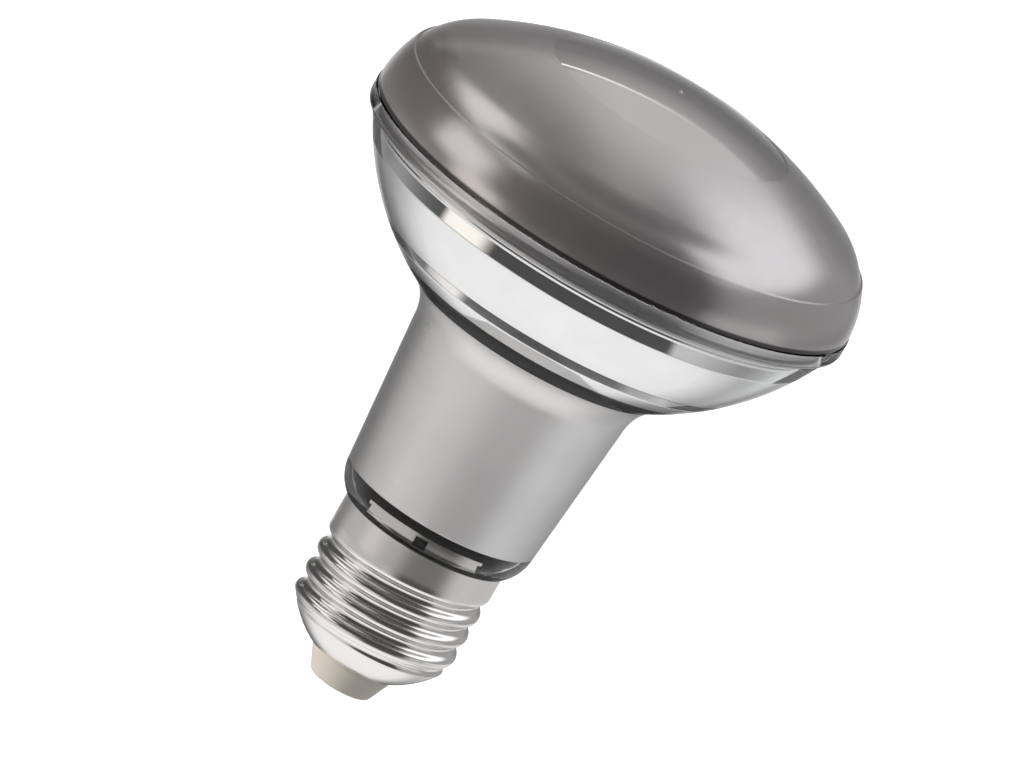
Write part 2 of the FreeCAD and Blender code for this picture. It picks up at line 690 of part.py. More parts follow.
def bottom_arc():
    """Centre and radius of the rounded bottom's arc."""
    low = at(CAP_HOLE_R, CAP_BOTTOM_Z)
    high = at(CAP_CORNER_R, CAP_CORNER_Z)
    chord = high - low
    radius = (chord.Length ** 2 / 4 + CAP_BULGE ** 2) / (2 * CAP_BULGE)
    inwards = at(-chord.z, chord.x) * (1 / chord.Length)
    return (low + high) * 0.5 + inwards * (radius - CAP_BULGE), radius


def bottom_radius(height, inset):
    """Radius of the rounded bottom at a height, moved inwards by inset."""
    centre, radius = bottom_arc()
    return centre.x + math.sqrt((radius - inset) ** 2 - (height - centre.z) ** 2)


def cap_blank(inset, overlap):
    """The cap before its thread is rolled, as a full body whose wall is moved inwards by inset."""
    centre, radius = bottom_arc()
    side_r = SKIRT_R - inset
    hole_r = CAP_HOLE_R - inset
    low_z = centre.z - math.sqrt((radius - inset) ** 2 - (hole_r - centre.x) ** 2)
    corner = at(bottom_radius(CAP_CORNER_Z, inset), CAP_CORNER_Z)
    side_low = at(side_r, corner.z + side_r - corner.x)
    edges = [arc(at(hole_r, low_z), corner, centre, radius - inset)]
    edges.append(line(corner, side_low))
    edges.append(line(side_low, at(side_r, CAP_TOP_Z + overlap)))
    edges.append(line(at(side_r, CAP_TOP_Z + overlap), at(0, CAP_TOP_Z + overlap)))
    edges.append(line(at(0, CAP_TOP_Z + overlap), at(0, CAP_BOTTOM_Z - overlap)))
    if overlap:
        edges.append(line(at(0, CAP_BOTTOM_Z - overlap), at(hole_r, CAP_BOTTOM_Z - overlap)))
        edges.append(line(at(hole_r, CAP_BOTTOM_Z - overlap), at(hole_r, low_z)))
    else:
        edges.append(line(at(0, CAP_BOTTOM_Z), at(hole_r, low_z)))
    return turned(edges)


def groove_section(root_z, inset, lift):
    """The groove's outline: a root arc between the halves of two crest arcs, closed outside the cap."""
    top_r = SKIRT_R + lift
    root_centre = at(top_r - THREAD_DEPTH + THREAD_ARC_R, root_z)
    root_r = THREAD_ARC_R + inset
    crest_r = THREAD_ARC_R - inset
    outer_r = SKIRT_R + 2 * THREAD_LAND
    ends = []
    edges = []
    for side in (-1, 1):
        crest_centre = at(top_r - THREAD_ARC_R, root_z + side * THREAD_PITCH / 2)
        touch = root_centre + (crest_centre - root_centre) * (root_r / (2 * THREAD_ARC_R))
        reach = math.sqrt(crest_r ** 2 - (THREAD_LAND / 2) ** 2)
        crest_end = crest_centre + at(reach, -side * THREAD_LAND / 2)
        outer_end = at(outer_r, crest_end.z)
        edges.append(arc(touch, crest_end, crest_centre, crest_r))
        edges.append(line(crest_end, outer_end))
        ends.append((touch, outer_end))
    edges.append(arc(ends[0][0], ends[1][0], root_centre, root_r))
    edges.append(line(ends[0][1], ends[1][1]))
    return Part.Wire(Part.__sortEdges__(edges))


def groove(start_turn, turns, first_lift, way_out, inset):
    """The groove's section swept along a helix that moves outwards on its way."""
    rise = THREAD_PITCH * turns
    root_z = FIRST_ROOT_Z + THREAD_PITCH * start_turn
    path = Part.makeHelix(THREAD_PITCH, rise, SKIRT_R, math.degrees(math.atan(way_out / rise)))
    path.translate(FreeCAD.Vector(0, 0, root_z))
    sweep = Part.Wire(path.Edges).makePipeShell([groove_section(root_z, inset, first_lift)], True, True)
    sweep.rotate(AXIS_BASE, UP, 360 * start_turn)
    return sweep


def rolled_body(inset, overlap):
    """The cap's threaded form as a full body, moved inwards by inset."""
    body = cap_blank(inset, overlap)
    body = body.cut(groove(GROOVE_START, RUN_OUT_START - GROOVE_START, THREAD_LIFT, 0, inset))
    run_out_lift = THREAD_LIFT + RUN_OUT_STEP
    return body.cut(groove(RUN_OUT_START - RUN_OUT_LAP, RUN_OUT_TURNS, run_out_lift, RUN_OUT_LIFT, inset))


def make_cap_shell():
    return rolled_body(0, 0).cut(rolled_body(SHEET, SHEET)).Solids[0]


# Insulating plug and centre contact

def make_cap_insulator():
    flange_low_z = CAP_BOTTOM_Z + SHEET
    flange_high_z = flange_low_z + PLUG_FLANGE_H
    flange_r = bottom_radius(flange_low_z, SHEET) - SEAT_GAP
    hole_r = CAP_HOLE_R - SHEET - SEAT_GAP
    recess_r = CONTACT_R + FINE_GAP
    stem_r = CONTACT_STEM_R + FINE_GAP
    plug = turned_points([
        (stem_r, CONTACT_HEAD_H),
        (recess_r, CONTACT_HEAD_H),
        (recess_r, CONTACT_PROUD),
        (PLUG_TIP_R, CONTACT_PROUD),
        (hole_r, CAP_BOTTOM_Z - PLUG_NECK_H),
        (hole_r, flange_low_z),
        (flange_r, flange_low_z),
        (flange_r, flange_high_z),
        (stem_r, flange_high_z),
    ])
    outer_edges = [edge for edge in plug.Edges if edge.BoundBox.XMax > PLUG_TIP_R - SEAT_GAP]
    tip_edges = [edge for edge in outer_edges if edge.BoundBox.ZMax < CONTACT_PROUD + SEAT_GAP]
    return plug.makeFillet(PLUG_EDGE_R, tip_edges)


def make_centre_contact():
    return turned_points([
        (0, 0),
        (CONTACT_R - CONTACT_PROUD, 0),
        (CONTACT_R, CONTACT_PROUD),
        (CONTACT_R, CONTACT_HEAD_H),
        (CONTACT_STEM_R, CONTACT_HEAD_H),
        (CONTACT_STEM_R, CONTACT_STEM_TOP),
        (0, CONTACT_STEM_TOP),
    ])


# Driver board and what it carries

def make_driver_board():
    return block(2 * PCB_HALF_W, PCB_T, PCB_HIGH_Z - PCB_LOW_Z, 0, 0, PCB_LOW_Z)


FRONT_Y = -PCB_T / 2
BACK_Y = PCB_T / 2


def make_electrolytic_capacitor():
    can = turned_points([
        (0, 0),
        (ECAP_R - ECAP_GROOVE, 0),
        (ECAP_R, ECAP_GROOVE),
        (ECAP_R, 4 * ECAP_GROOVE),
        (ECAP_R - ECAP_GROOVE, 5 * ECAP_GROOVE),
        (ECAP_R, 6 * ECAP_GROOVE),
        (ECAP_R, ECAP_H - ECAP_GROOVE),
        (ECAP_R - ECAP_GROOVE, ECAP_H),
        (0, ECAP_H),
    ])
    can.translate(FreeCAD.Vector(0, FRONT_Y - ECAP_R, ECAP_Z))
    return can


def make_film_capacitor():
    box = block(FILM_W, FILM_D, FILM_H, 0, FRONT_Y - FILM_D / 2, FIRST_ROW_Z)
    upright = [edge for edge in box.Edges
               if edge.BoundBox.ZLength > FILM_H / 2 and edge.BoundBox.YMax < FRONT_Y - FILM_D / 2]
    return box.makeFillet(FILM_CORNER_R, upright)


def make_inductor_core():
    top = CORE_H - CORE_FLANGE_T
    core = turned_points([
        (0, 0),
        (CORE_R, 0),
        (CORE_R, CORE_FLANGE_T),
        (CORE_SPOOL_R, CORE_FLANGE_T),
        (CORE_SPOOL_R, top),
        (CORE_R, top),
        (CORE_R, CORE_H),
        (0, CORE_H),
    ])
    core.translate(FreeCAD.Vector(0, BACK_Y + CORE_R, CORE_Z))
    return core


def make_inductor_winding():
    height = CORE_H - 2 * CORE_FLANGE_T
    y = BACK_Y + CORE_R
    z = CORE_Z + CORE_FLANGE_T
    return rod(WINDING_R, height, 0, y, z).cut(rod(CORE_SPOOL_R, height, 0, y, z))


def make_chip(width, depth, height, x, z, leads):
    """A moulded chip that lies on the board's back, with leads on both sides."""
    stand_off = LEAD_T
    chip = block(width, depth - stand_off, height, x, BACK_Y + stand_off + (depth - stand_off) / 2, z)
    for side in (-1, 1):
        for index in range(leads):
            lead_z = z + height * (index + 0.5) / leads - LEAD_W / 2
            foot_x = x + side * (width / 2 + LEAD_REACH / 2)
            chip = chip.fuse(block(LEAD_REACH, LEAD_T, LEAD_W, foot_x, BACK_Y + LEAD_T / 2, lead_z))
            knee_x = x + side * (width / 2 + LEAD_T / 2)
            chip = chip.fuse(block(LEAD_T, depth / 2, LEAD_W, knee_x, BACK_Y + depth / 4, lead_z))
    return chip.removeSplitter().Solids[0]


def make_fuse_resistor():
    y = BACK_Y + FUSE_R
    body = rod(FUSE_R, FUSE_H, -SIDE_X, y, FIRST_ROW_Z)
    ends = [edge for edge in body.Edges if edge.BoundBox.ZLength < FINE_GAP]
    body = body.makeFillet(FUSE_R / 2, ends)
    leads = rod(FUSE_LEAD_R, FUSE_H + 2 * FUSE_LEAD_H, -SIDE_X, y, FIRST_ROW_Z - FUSE_LEAD_H)
    return body.fuse(leads).removeSplitter().Solids[0]


def make_chip_resistors():
    spacing = 2 * PCB_HALF_W / (SMALL_RESISTORS + 1)
    resistors = []
    for index in range(SMALL_RESISTORS):
        x = -PCB_HALF_W + spacing * (index + 1)
        resistors.append(block(SMALL_RESISTOR_W, SMALL_RESISTOR_D, SMALL_RESISTOR_H,
                               x, BACK_Y + SMALL_RESISTOR_D / 2, SMALL_RESISTOR_Z))
    return Part.makeCompound(resistors)


# Wires

def make_wire(points):
    """A round wire along straight runs joined by tangent arcs."""
    route = [FreeCAD.Vector(*point) for point in points]
    edges = []
    start = route[0]
    for before, corner, after in zip(route, route[1:], route[2:]):
        back = (before - corner).normalize()
        ahead = (after - corner).normalize()
        turn = math.pi - back.getAngle(ahead)
        reach = WIRE_BEND_R * math.tan(turn / 2)
        bisector = (back + ahead).normalize()
        middle = corner + bisector * (WIRE_BEND_R / math.cos(turn / 2) - WIRE_BEND_R)
        edges.append(line(start, corner + back * reach))
        edges.append(Part.Arc(corner + back * reach, middle, corner + ahead * reach).toShape())
        start = corner + ahead * reach
    edges.append(line(start, route[-1]))
    path = Part.Wire(edges)
    section = Part.Wire(Part.makeCircle(WIRE_R, route[0], route[1] - route[0]))
    return path.makePipeShell([section], True, False)


def make_live_wire():
    y = FRONT_Y - WIRE_R
    cross_z = CONTACT_STEM_TOP + WIRE_BEND_R + WIRE_R
    return make_wire([
        (0, 0, CONTACT_STEM_TOP),
        (0, 0, cross_z),
        (WIRE_SPREAD, y, cross_z + WIRE_BEND_R),
        (WIRE_SPREAD, y, FIRST_ROW_Z - SEAT_GAP),
    ])


def make_neutral_wire():
    x = -2 * WIRE_SPREAD
    y = FRONT_Y - WIRE_R
    drop_z = HOUSING_LOW_Z - 2 * WIRE_R
    wall_r = bottom_radius(drop_z, SHEET) - SEAT_GAP
    end_x = WIRE_R - math.sqrt(wall_r ** 2 - y ** 2)
    return make_wire([(x, y, PCB_LOW_Z + SOLDER_OVERLAP), (x, y, drop_z), (end_x, y, drop_z)])


def make_led_wire(side):
    x = side * WIRE_HOLE_R / 2
    y = FRONT_Y - WIRE_R
    cross_z = PCB_HIGH_Z + 2 * WIRE_R
    return make_wire([
        (side * WIRE_SPREAD, y, PCB_HIGH_Z - SOLDER_OVERLAP),
        (side * WIRE_SPREAD, y, cross_z),
        (x, 0, cross_z + WIRE_BEND_R),
        (x, 0, SPREADER_TOP_Z + BOARD_T),
    ])


pieces = {
    "glass_body": make_glass_body(),
    "front_cover": make_front_cover(),
    "cover_seal": make_cover_seal(),
    "reflector": make_reflector(),
    "retaining_ring": make_retaining_ring(),
    "neck_sleeve": make_neck_sleeve(),
    "heat_spreader": make_heat_spreader(),
    "led_board": make_led_board(),
    "led_chips": make_led_chips(),
    "board_screws": make_board_screws(),
    "driver_housing": make_driver_housing(),
    "foot_clip_front": make_foot_clip(-90),
    "foot_clip_back": make_foot_clip(90),
    "cap_shell": make_cap_shell(),
    "cap_insulator": make_cap_insulator(),
    "centre_contact": make_centre_contact(),
    "driver_board": make_driver_board(),
    "electrolytic_capacitor": make_electrolytic_capacitor(),
    "film_capacitor": make_film_capacitor(),
    "inductor_core": make_inductor_core(),
    "inductor_winding": make_inductor_winding(),
    "bridge_rectifier": make_chip(BRIDGE_W, BRIDGE_D, BRIDGE_H, SIDE_X, FIRST_ROW_Z, 2),
    "driver_chip": make_chip(CHIP_W, CHIP_D, CHIP_H, 0, CHIP_Z, 4),
    "fuse_resistor": make_fuse_resistor(),
    "chip_resistors": make_chip_resistors(),
    "live_wire": make_live_wire(),
    "neutral_wire": make_neutral_wire(),
    "led_wire_positive": make_led_wire(1),
    "led_wire_negative": make_led_wire(-1),
}

os.makedirs("parts", exist_ok=True)
for name, shape in pieces.items():
    if not shape.isValid():
        raise ValueError(name + " isn't a valid shape")
    shape.exportStep("parts/" + name + ".step")
    box = shape.BoundBox
    print(f"{name}: {len(shape.Solids)} solid, {shape.Volume:.2f} mm3, z {box.ZMin:.2f} to {box.ZMax:.2f}, "
          f"x {box.XMin:.2f} to {box.XMax:.2f}")
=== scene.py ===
import bmesh
import bpy
import math
from mathutils import Matrix, Vector


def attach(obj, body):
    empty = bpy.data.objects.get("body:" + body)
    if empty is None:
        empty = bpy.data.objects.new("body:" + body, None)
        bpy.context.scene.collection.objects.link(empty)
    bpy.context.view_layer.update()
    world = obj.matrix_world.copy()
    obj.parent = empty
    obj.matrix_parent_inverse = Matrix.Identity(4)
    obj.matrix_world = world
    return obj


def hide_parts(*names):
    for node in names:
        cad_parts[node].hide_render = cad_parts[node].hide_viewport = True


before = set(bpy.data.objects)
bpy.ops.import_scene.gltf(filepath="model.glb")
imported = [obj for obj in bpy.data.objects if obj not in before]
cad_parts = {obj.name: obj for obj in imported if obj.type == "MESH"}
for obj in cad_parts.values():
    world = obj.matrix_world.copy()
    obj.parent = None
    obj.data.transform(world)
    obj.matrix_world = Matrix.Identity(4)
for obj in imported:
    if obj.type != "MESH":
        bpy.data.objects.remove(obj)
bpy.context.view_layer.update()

MM = 0.001
TURN_STEPS = 288            # faces round a turned piece
CURVE_STEP = 0.5            # mm between points on an arc
SOFT_EDGE = 0.12            # mm of rounding on a turned piece's edges
SOFT_PARTS = 4              # faces across a rounding
SOFT_FROM = 18              # degrees, below which a corner stays as it is
SIDE_SHARE = 0.45           # most of a side that one rounding takes
FLAT_GUARD = 0.04           # mm past a rounding, to the point that keeps a long side flat
SAME_POINT = 0.01           # mm within which two points are one
CAP_TURN_STEPS = 320        # faces round the rolled cap
CAP_STEP = 0.14             # mm between points up the outside of the cap
CAP_INNER_STEP = 0.4

# Sizes of the visible pieces in mm, from the contact up
SEAT_GAP = 0.1
SHEET = 0.3
SKIRT_R = 13.14
CAP_BOTTOM_Z = 4.5
CAP_CORNER = (12.9, 10.1)
CAP_HOLE_R = 7.1
CAP_BULGE = 0.52
CAP_TOP_Z = 27.3
THREAD_PITCH = 3.629
THREAD_ARC_R = 1.025
THREAD_LIFT = 0.02
FIRST_ROOT_Z = 10.25
ROOT_BLEND = 0.25           # mm of smoothing where the first groove leaves the bottom
RUN_OUT = (3.1, 3.42)       # turns between which the groove fades out
ROLLED_UP_TO = (22.2, 23.4)
PLUG_TIP = (4.9, 0.3)
PLUG_RECESS = (3.45, 0.9)
PLUG_HOLE_R = 1.15
PLUG_EDGE_H = 0.2
PLUG_FLANGE_T = 1.6
GLASS_WALL = 1.2
BORE_R = SKIRT_R + SEAT_GAP
FOOT_END = (BORE_R + 0.2, 26.9)
NECK_LOW_R = BORE_R + 2.45
NECK_TAPER = 0.0881
NECK_LENGTH = 23.24
FOOT_ARC_R = 6.3
NECK_FILLET_R = 8.0
BOWL_R = 43.6
BOWL_DEPTH = 26.56
RIM_R = 40.0
RIM_STEP = 0.92
RIM_H = 2.6
RIM_EDGE_R = 0.7
SEAL_T = 0.2
COVER_WALL = 1.3
COVER_H = 20.7
COVER_EDGE_R = RIM_R - 0.15
DOME_R = 67.0
DOME_EDGE_R = 11.6
DOME_EDGE_INSET = 12.22
CREASE_ANGLE = 31.0
CREASE_STEP = 0.35
SHOULDER_ARC_R = 16.5
SPIGOT_DEPTH = 3.2
DISC_R = 19.75
DISC_DEPTH = 0.08
GATE = (0.4, 0.3)
COATING_LAP = 0.02          # the pieces behind the wall touch it, so no air shows between them
BACK_INSET = GLASS_WALL - COATING_LAP
MIRROR_WALL = 0.8
SLEEVE_WALL = 1.0
RING_WALL = 1.55
SLEEVE_FOOT_H = 0.2
SLEEVE_FLARE = 3.05         # this and the next four: how much wider an edge is than the one below it
RING_REACH = 4.4
LOWER_BAND_REACH = 2.95
LEDGE_W = 1.85
LIP_OVERHANG = 1.35
UPPER_LEAN = 0.08           # inward lean of the bowl's upright bands, mm in a mm
LOWER_LEAN = 0.26
LIP_H = 0.9
LIP_BEAD_R = 0.5
LIP_SET_BACK = 0.28

# Where the cover's finish changes and where its painted shade lies, in mm
SPIGOT_LAP = 0.05
PAINTED_SHADE_RISE = 0.25       # middle of the painted shade line, above the joint
PAINTED_SHADE_SPREAD = (0.2, 0.6)      # how far from its middle the painted shade starts to fade and ends
DISC_FADE = 0.1

# The photo's parallel view, the lamps' target and the floor, in degrees and metres
VIEW_TILT = 14.8
VIEW_ROLL = 30
VIEW_WIDTH = 0.1515
VIEW_CENTRE_Z = 0.0531
VIEW_DISTANCE = 0.6
LAMP_TARGET = (0, 0, 0.05)
FLOOR_DROP = 0.0004

NECK_SLOPE = math.sqrt(1 + NECK_TAPER ** 2)
FOOT_CENTRE_R = NECK_LOW_R - FOOT_ARC_R * NECK_SLOPE
FOOT_CENTRE_Z = FOOT_END[1] + math.sqrt(FOOT_ARC_R ** 2 - (FOOT_END[0] - FOOT_CENTRE_R) ** 2)
FILLET_Z = FOOT_CENTRE_Z + NECK_LENGTH
BOWL_TOP_Z = FILLET_Z + BOWL_DEPTH
RIM_TOP_Z = BOWL_TOP_Z + RIM_H
COVER_LOW_Z = RIM_TOP_Z + SEAL_T
THREAD_DEPTH = 2 * THREAD_ARC_R * (1 - math.cos(math.asin(THREAD_PITCH / 4 / THREAD_ARC_R)))


# Outlines, as lists of (radius, height) in mm

def arc(start, end, centre, step=CURVE_STEP):
    """Points from start to end the short way round a centre."""
    first = math.atan2(start[1] - centre[1], start[0] - centre[0])
    last = math.atan2(end[1] - centre[1], end[0] - centre[0])
    sweep = (last - first + math.pi) % (2 * math.pi) - math.pi
    radius = math.dist(start, centre)
    count = max(3, math.ceil(abs(sweep) * radius / step))
    angles = [first + sweep * index / count for index in range(count + 1)]
    return [(centre[0] + radius * math.cos(a), centre[1] + radius * math.sin(a)) for a in angles]


def neck_radius(z, inset):
    return NECK_LOW_R + NECK_TAPER * (z - FOOT_CENTRE_Z) - inset * NECK_SLOPE


FILLET = Vector((neck_radius(FILLET_Z, 0) + NECK_FILLET_R * NECK_SLOPE, FILLET_Z))


def bowl_centre():
    """Centre of the arc that ends under the rim and touches the neck's fillet."""
    end = Vector((RIM_R - RIM_STEP, BOWL_TOP_Z))
    across = FILLET - end
    reach = across.length
    along = (BOWL_R ** 2 - (BOWL_R + NECK_FILLET_R) ** 2 + reach ** 2) / (2 * reach)
    aside = math.sqrt(BOWL_R ** 2 - along ** 2)
    across.normalize()
    return end + across * along + Vector((across.y, -across.x)) * aside


BOWL = bowl_centre()


def fillet_low(inset):
    return FILLET + Vector((-1, NECK_TAPER)).normalized() * (NECK_FILLET_R + inset)


def fillet_high(inset):
    return BOWL + (FILLET - BOWL).normalized() * (BOWL_R - inset)


def bowl_height(radius, inset):
    return BOWL.y - math.sqrt((BOWL_R - inset) ** 2 - (radius - BOWL.x) ** 2)


def skin_height(radius, inset):
    """Height at which the inset outline above the neck has a radius."""
    if radius > fillet_high(inset).x:
        return bowl_height(radius, inset)
    return FILLET.y + math.sqrt((NECK_FILLET_R + inset) ** 2 - (FILLET.x - radius) ** 2)


def skin_point(z, inset):
    """Point of the clear body's outline at a height, moved inwards by inset."""
    if z < fillet_low(inset).y:
        return (neck_radius(z, inset), z)
    if z < fillet_high(inset).y:
        return (FILLET.x - math.sqrt((NECK_FILLET_R + inset) ** 2 - (z - FILLET.y) ** 2), z)
    return (BOWL.x + math.sqrt((BOWL_R - inset) ** 2 - (BOWL.y - z) ** 2), z)


def skin(low_z, high_z, inset):
    """The clear body's outline between two heights, moved inwards by inset."""
    low = skin_point(low_z, inset)
    high = skin_point(high_z, inset)
    neck_end = fillet_low(inset)
    bowl_start = fillet_high(inset)
    points = [low]
    if low_z < neck_end.y < high_z:
        points.append(tuple(neck_end))
    if points[-1][1] < bowl_start.y and high_z > neck_end.y:
        end = tuple(bowl_start) if high_z > bowl_start.y else high
        points += arc(points[-1], end, FILLET)[1:]
    if high_z > bowl_start.y:
        points += arc(points[-1], high, BOWL)[1:]
    elif points[-1][1] < high_z:
        points.append(high)
    return points


def soften(points, reach):
    """Rounds the sharp corners of a closed outline, and keeps its long sides flat up to the roundings."""
    count = len(points)
    rounded = []
    for index in range(count):
        before = Vector(points[index - 1])
        here = Vector(points[index])
        after = Vector(points[(index + 1) % count])
        back = before - here
        ahead = after - here
        no_side = back.length < 1e-6 or ahead.length < 1e-6
        on_axis = here.x < 1e-6
        if on_axis or no_side or back.angle(-ahead) < math.radians(SOFT_FROM):
            rounded.append(tuple(here))
            continue
        start = here + back.normalized() * min(reach, back.length * SIDE_SHARE)
        end = here + ahead.normalized() * min(reach, ahead.length * SIDE_SHARE)
        if back.length > 4 * reach:
            rounded.append(tuple(start + back.normalized() * FLAT_GUARD))
        for part in range(SOFT_PARTS + 1):
            t = part / SOFT_PARTS
            rounded.append(tuple(start.lerp(here, t).lerp(here.lerp(end, t), t)))
        if ahead.length > 4 * reach:
            rounded.append(tuple(end + ahead.normalized() * FLAT_GUARD))
    return rounded


def clean(points):
    """Drops points that lie on the one before them."""
    kept = []
    for point in points:
        if not kept or math.dist(point, kept[-1]) > SAME_POINT:
            kept.append(point)
    if math.dist(kept[0], kept[-1]) < SAME_POINT:
        kept.pop()
    return kept


# Meshes

def turned_mesh(points, steps=TURN_STEPS):
    """A closed outline turned about the Z axis."""
    bm = bmesh.new()
    verts = [bm.verts.new((r * MM, 0, z * MM)) for r, z in points]
    for first, second in zip(verts, verts[1:] + verts[:1]):
        bm.edges.new((first, second))
    bmesh.ops.spin(bm, geom=bm.verts[:] + bm.edges[:], cent=(0, 0, 0), axis=(0, 0, 1),
                   angle=2 * math.pi, steps=steps, use_merge=True)
    bmesh.ops.remove_doubles(bm, verts=bm.verts, dist=1e-7)
    bmesh.ops.recalc_face_normals(bm, faces=bm.faces)
    return bm


def finished(bm, name, surface, node, sharp=40):
    """Turns a mesh into a smooth piece of the object that stands for a CAD node."""
    mesh = bpy.data.meshes.new(name)
    bm.to_mesh(mesh)
    bm.free()
    mesh.shade_smooth()
    mesh.set_sharp_from_angle(angle=math.radians(sharp))
    mesh.materials.append(surface)
    piece = bpy.data.objects.new(name, mesh)
    bpy.context.scene.collection.objects.link(piece)
    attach(piece, "root")
    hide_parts(node)
    return piece


def turned_piece(name, outline, surface, node, soft=SOFT_EDGE):
    """A finished piece turned from an outline with its edges rounded."""
    points = clean(soften(clean(outline), soft))
    return finished(turned_mesh(points), name, surface, node)


# Colours and node materials

def colour(code):
    """An sRGB hex code as a linear colour."""
    channels = [int(code[start:start + 2], 16) / 255 for start in (1, 3, 5)]
    linear = [c / 12.92 if c <= 0.04045 else ((c + 0.055) / 1.055) ** 2.4 for c in channels]
    return (*linear, 1.0)


def add(tree, kind, inputs=None, **settings):
    """Adds a node with its settings, and its inputs as values or links."""
    node = tree.nodes.new(kind)
    for name, value in settings.items():
        setattr(node, name, value)
    for key, value in (inputs or {}).items():
        if isinstance(value, bpy.types.NodeSocket):
            tree.links.new(value, node.inputs[key])
        else:
            node.inputs[key].default_value = value
    return node


def empty_tree(owner):
    owner.use_nodes = True
    owner.node_tree.nodes.clear()
    return owner.node_tree


def noise(tree, size_mm, low, high, detail=3.0):
    """A noise pattern with features of a size in mm, spread from low to high."""
    place = add(tree, "ShaderNodeTexCoord").outputs["Object"]
    pattern = add(tree, "ShaderNodeTexNoise", {
        "Vector": place, "Scale": 1 / (size_mm * MM), "Detail": detail}).outputs[0]
    return add(tree, "ShaderNodeMapRange", {
        "Value": pattern, "From Min": 0.3, "From Max": 0.7, "To Min": low, "To Max": high}).outputs[0]


def material(name, code, roughness=(0.4, 0.5), metallic=0.0, patch_mm=6.0, grain_mm=0.4, grain_depth_mm=0.0,
             tint=0.04, **shader):
    """A surface whose colour and roughness vary a little in soft patches, with an optional fine grain."""
    made = bpy.data.materials.new(name)
    tree = empty_tree(made)
    base = colour(code)
    darker = tuple(channel * (1 - tint) for channel in base[:3]) + (1.0,)
    patches = noise(tree, patch_mm, 0.0, 1.0)
    tone = add(tree, "ShaderNodeMix", {0: patches, 6: base, 7: darker}, data_type="RGBA").outputs[2]
    inputs = {"Base Color": tone, "Roughness": noise(tree, patch_mm * 0.6, *roughness), "Metallic": metallic}
    inputs.update(shader)
    if grain_depth_mm:
        height = noise(tree, grain_mm, 0.0, 1.0, 2.0)
        inputs["Normal"] = add(tree, "ShaderNodeBump", {
            "Height": height, "Strength": 1.0, "Distance": grain_depth_mm * MM}).outputs[0]
    body = add(tree, "ShaderNodeBsdfPrincipled", inputs)
    add(tree, "ShaderNodeOutputMaterial", {"Surface": body.outputs[0]})
    return made


# Vacuum-coated plastic, which shows the room sharply
MIRROR = material("Aluminised mirror coating", "#F4F4F4", (0.015, 0.03), 1.0)
# Etched before it was anodised, which blurs the room to soft upright shades
SATIN = material("Satin anodised aluminium", "#F6F4F3", (0.27, 0.3), 1.0, patch_mm=20.0)
# Moulded, with so little gloss that the ring stays a black line
BLACK = material("Black polycarbonate", "#1C1A1B", (0.3, 0.38), **{"Specular IOR Level": 0.1})
# Moulded and matt, with a fine grain
BEIGE = material("Beige filled plastic", "#B5AEA6", (0.5, 0.6), grain_mm=0.5, grain_depth_mm=0.006)


def clear_material():
    """Blown clear plastic with the low gloss of a thin wall: over half of it only bends the light."""
    made = bpy.data.materials.new("Clear polycarbonate")
    tree = empty_tree(made)
    patches = noise(tree, 12.0, 0.0, 1.0)
    tone = add(tree, "ShaderNodeMix", {0: patches, 6: colour("#FCFCFC"), 7: colour("#FAFAFA")},
               data_type="RGBA").outputs[2]
    glossy = add(tree, "ShaderNodeBsdfPrincipled", {
        "Base Color": tone, "Roughness": 0.0, "Transmission Weight": 1.0, "IOR": 1.5,
        "Specular Tint": (0.15, 0.15, 0.15, 1.0)}).outputs[0]
    bending = add(tree, "ShaderNodeBsdfRefraction", {"Color": tone, "Roughness": 0.0, "IOR": 1.5}).outputs[0]
    body = add(tree, "ShaderNodeMixShader", {0: 0.6, 1: glossy, 2: bending}).outputs[0]
    add(tree, "ShaderNodeOutputMaterial", {"Surface": body})
    return made


def cap_material():
    """Nickel that stays satin on the plain skirt and is burnished where the thread was rolled."""
    made = bpy.data.materials.new("Nickel-plated rolled brass")
    tree = empty_tree(made)
    place = add(tree, "ShaderNodeTexCoord").outputs["Object"]
    height = add(tree, "ShaderNodeSeparateXYZ", {"Vector": place}).outputs["Z"]
    skirt = add(tree, "ShaderNodeMapRange", {
        "Value": height, "From Min": ROLLED_UP_TO[0] * MM, "From Max": ROLLED_UP_TO[1] * MM},
        interpolation_type="SMOOTHSTEP").outputs[0]
    roughness = add(tree, "ShaderNodeMapRange", {
        "Value": skirt, "To Min": noise(tree, 5.0, 0.12, 0.16), "To Max": 0.28}).outputs[0]
    body = add(tree, "ShaderNodeBsdfPrincipled", {
        "Base Color": colour("#EFECEA"), "Metallic": 1.0, "Roughness": roughness})
    add(tree, "ShaderNodeOutputMaterial", {"Surface": body.outputs[0]})
    return made


